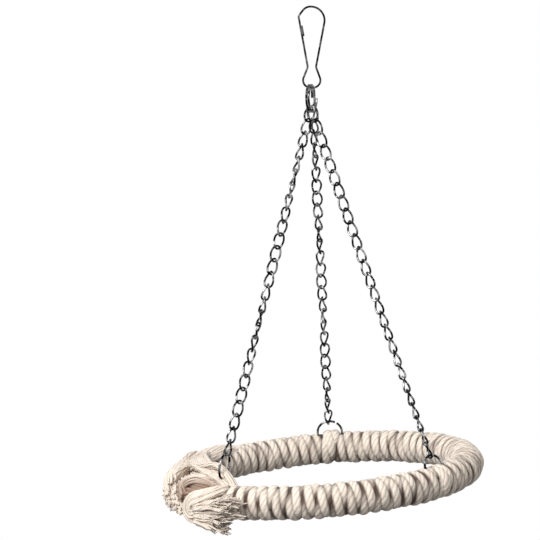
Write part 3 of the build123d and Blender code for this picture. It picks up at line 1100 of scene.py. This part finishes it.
class BIRDSWING_OT_winding(bpy.types.Operator):
    """Wind the laid rope round the hoop"""
    bl_idname = "birdswing.winding"
    bl_label = "Wound Rope"

    def execute(self, context):
        settings = context.scene.bird_swing.rope
        material = laid_rope_material(settings)
        phase = 0.0
        for node, first, last in WRAP_CUTS:
            line, normals = winding(np.linspace(first, last, round((last - first) * POINTS_PER_TURN) + 1))
            tubes = TubeMesh()
            add_laid_rope(tubes, line, normals, settings, phase)
            phase -= 2 * math.pi * lengths(line)[-1] / settings.lay
            # shade painted deep between the turns and strands
            set_on_seat(tubes.make("rope_" + node, material, out_of_crevices), node)
        return {"FINISHED"}


class BIRDSWING_OT_upper_end(bpy.types.Operator):
    """Lay the unlaid upper end of the rope round the left of the hoop, with its cut tuft"""
    bl_idname = "birdswing.upper_end"
    bl_label = "Upper Rope End"

    def execute(self, context):
        settings = context.scene.bird_swing.rope
        material = loose_yarn_material(settings)
        (before, last), away = winding([LAST_TURN - TURN_STEP, LAST_TURN])
        leave = last + unit(last - before) * LEAVE_RUN
        sheet = sheet_yarns()
        tubes = TubeMesh()
        add_yarn_bundle(tubes, laid_line(UPPER_ROUTE, ROUTE_STEP, (last, leave)), away[1], UPPER_BUNDLE)
        add_loose_yarns(tubes, sleeve_yarns(), settings.loose_yarn)
        add_loose_yarns(tubes, sheet, settings.loose_yarn, SHEET_VARIETY)
        # shade painted deep in the knot's hollow
        set_on_seat(tubes.make("upper_end_of_rope", material, out_of_hollow), "upper_rope_end")
        frays = TubeMesh()
        for number, yarn in enumerate(sheet):
            heading = unit(yarn[-1] - yarn[-4]) * TUFT_FOLLOW + TUFT_LEAN
            root = yarn[-1] - heading * TUFT_OVERLAP
            add_frayed_yarns(frays, root, heading, settings.yarn * TUFT_YARN, TUFT._replace(seed=number))
        set_on_seat(frays.make("cut_tuft", material), "upper_tuft")
        return {"FINISHED"}


class BIRDSWING_OT_hitch(bpy.types.Operator):
    """Lay the crossing turn of the knot through the left-hand seat ring"""
    bl_idname = "birdswing.hitch"
    bl_label = "Hitch"

    def execute(self, context):
        settings = context.scene.bird_swing.rope
        material = loose_yarn_material(settings)
        tubes = TubeMesh()
        add_yarn_bundle(tubes, laid_line(HITCH_ROUTE, ROUTE_STEP), UP, HITCH_BUNDLE)
        add_yarn_bundle(tubes, laid_line(UNDER_ROUTE, ROUTE_STEP), UP, UNDER_BUNDLE)
        add_yarn_bundle(tubes, laid_line(CURL_ROUTE, SHORT_STEP), UP, CURL_BUNDLE)
        add_loose_yarns(tubes, fan_yarns(), settings.fan_yarn, FAN_VARIETY)
        # shade painted deep in the knot's hollow
        set_on_seat(tubes.make("hitch_of_knot", material, out_of_hollow), "rope_hitch")
        return {"FINISHED"}


class BIRDSWING_OT_lower_end(bpy.types.Operator):
    """Lay the bight at the front of the knot, with its frayed tassel"""
    bl_idname = "birdswing.lower_end"
    bl_label = "Lower Rope End"

    def execute(self, context):
        settings = context.scene.bird_swing.rope
        material = loose_yarn_material(settings)
        first, after = winding([0, TURN_STEP])[0]
        leave = first - unit(after - first) * LEAVE_RUN
        line = laid_line(LOWER_ROUTE, SHORT_STEP, (first, leave))
        line[:, 2] -= BIGHT_SAG * np.sin(np.linspace(0, np.pi, len(line))) ** 2
        outward = unit(line[-1] - SEAT_CENTRE)
        tubes = TubeMesh()
        add_yarn_bundle(tubes, line[::-1], outward, LOWER_BUNDLE)
        set_on_seat(tubes.make("lower_end_of_rope", material), "lower_rope_end")
        heading = unit(line[-1] - line[-3])
        root = line[-1] - heading * TASSEL_OVERLAP + outward * TASSEL_OUT
        frays = TubeMesh()
        for height, slope, fray in TASSELS:
            raised = root + np.array((0, 0, height))
            add_frayed_yarns(frays, raised, heading + np.array((0, 0, slope)), settings.yarn, fray)
        set_on_seat(frays.make("frayed_tassel", material), "lower_tassel")
        return {"FINISHED"}


class BIRDSWING_OT_metal(bpy.types.Operator):
    """Give the hook, rings, chains and hoop their metal, and bridge the hook's bending point"""
    bl_idname = "birdswing.metal"
    bl_label = "Metal"

    def execute(self, context):
        settings = context.scene.bird_swing.metal
        core_tarnish = [c * CORE_TARNISH for c in settings.core]
        plated = metal_material("Nickel-plated wire", settings.nickel, settings.tarnish, settings.roughness)
        spring = metal_material("Hook wire", settings.hook, settings.tarnish, settings.roughness)
        core = metal_material("Plain steel hoop", settings.core, core_tarnish, CORE_ROUGHNESS)
        for name, node in frame["nodes"].items():
            if name.endswith(("_link", "_chain", "_ring")):
                dress(node, plated)
            if name.startswith("hook_"):
                dress(node, spring)
        dress(frame["nodes"]["hoop_core"], core)
        joints = frame["record"]["behaviour"]["joints"]
        flex = Vector(next(j["pos_m"] for j in joints if j["name"] == "gate_flex"))
        along = (HOOK_CORNER - flex).normalized()
        low = flex - along * BRIDGE_HALF
        high = flex + along * BRIDGE_HALF
        line = np.array([low.lerp(high, i / BRIDGE_STEPS) for i in range(BRIDGE_STEPS + 1)])
        tubes = TubeMesh()
        tubes.add(line, settings.hook_wire / 2 + BRIDGE_SKIN, WIRE_SIDES, (0, 1, 0))
        bridge = tubes.make("bending_leg", spring)
        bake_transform(bridge)
        return {"FINISHED"}


class BIRDSWING_OT_stage(bpy.types.Operator):
    """Set up the floor, the backdrop and the soft studio light"""
    bl_idname = "birdswing.stage"
    bl_label = "Stage"

    def execute(self, context):
        stage = context.scene.bird_swing.stage
        context.scene.view_settings.view_transform = "Standard"
        corners = ((-1, -1), (1, -1), (1, 1), (-1, 1))
        points = [(x * FLOOR_HALF, y * FLOOR_HALF, -stage.floor_drop) for x, y in corners]
        mesh = bpy.data.meshes.new("floor")
        mesh.from_pydata(points, [], [(0, 1, 2, 3)])
        mesh.materials.append(white_material("White floor", FLOOR_SHADE))
        floor = bpy.data.objects.new("floor", mesh)
        context.scene.collection.objects.link(floor)
        world = bpy.data.worlds.new("studio")
        context.scene.world = world
        world.use_nodes = True
        world.node_tree.nodes.clear()
        n = Nodes(world.node_tree)
        soft = n.add("ShaderNodeBackground", {"Color": WHITE, "Strength": stage.sky})
        white = n.add("ShaderNodeBackground", {"Color": WHITE, "Strength": 1.0})
        shaders = {"Fac": seen_directly(n), 1: soft.outputs["Background"], 2: white.outputs["Background"]}
        mixed = n.add("ShaderNodeMixShader", links=shaders)
        n.add("ShaderNodeOutputWorld", links={"Surface": mixed.outputs["Shader"]})
        lamps = (
            ("key_lamp", KEY_PLACE, stage.key, KEY_WIDTH),
            ("fill_lamp", FILL_PLACE, stage.fill, FILL_WIDTH),
        )
        for name, place, power, width in lamps:
            lamp = bpy.data.lights.new(name, "AREA")
            lamp.energy = power
            lamp.size = width
            holder = bpy.data.objects.new(name, lamp)
            holder.location = place
            towards = LAMP_TARGET - Vector(place)
            holder.rotation_euler = towards.to_track_quat("-Z", "Y").to_euler()
            context.scene.collection.objects.link(holder)
        return {"FINISHED"}


OPERATORS = (
    BIRDSWING_OT_camera,
    BIRDSWING_OT_winding,
    BIRDSWING_OT_upper_end,
    BIRDSWING_OT_hitch,
    BIRDSWING_OT_lower_end,
    BIRDSWING_OT_metal,
    BIRDSWING_OT_stage,
)


class BIRDSWING_PT_panel(bpy.types.Panel):
    """Pieces of the bird swing and their sizes and colours"""
    bl_label = "Bird Swing"
    bl_idname = "BIRDSWING_PT_panel"
    bl_space_type = "VIEW_3D"
    bl_region_type = "UI"
    bl_category = "Bird Swing"

    def draw(self, context):
        settings = context.scene.bird_swing
        for group in (settings.rope, settings.metal, settings.stage):
            box = self.layout.box()
            for name in group.__annotations__:
                box.prop(group, name)
        for operator in OPERATORS:
            self.layout.operator(operator.bl_idname)


CLASSES = (BirdSwingRope, BirdSwingMetal, BirdSwingStage, BirdSwingSettings, *OPERATORS, BIRDSWING_PT_panel)


def register():
    """Add the settings, operators and panel."""
    for item in CLASSES:
        bpy.utils.register_class(item)
    bpy.types.Scene.bird_swing = PointerProperty(type=BirdSwingSettings)


def unregister():
    """Take the settings, operators and panel away."""
    del bpy.types.Scene.bird_swing
    for item in reversed(CLASSES):
        bpy.utils.unregister_class(item)


def main():
    """Make every piece in order."""
    register()
    for operator in OPERATORS:
        group, name = operator.bl_idname.split(".")
        getattr(getattr(bpy.ops, group), name)()


if __name__ == "__main__":
    main()
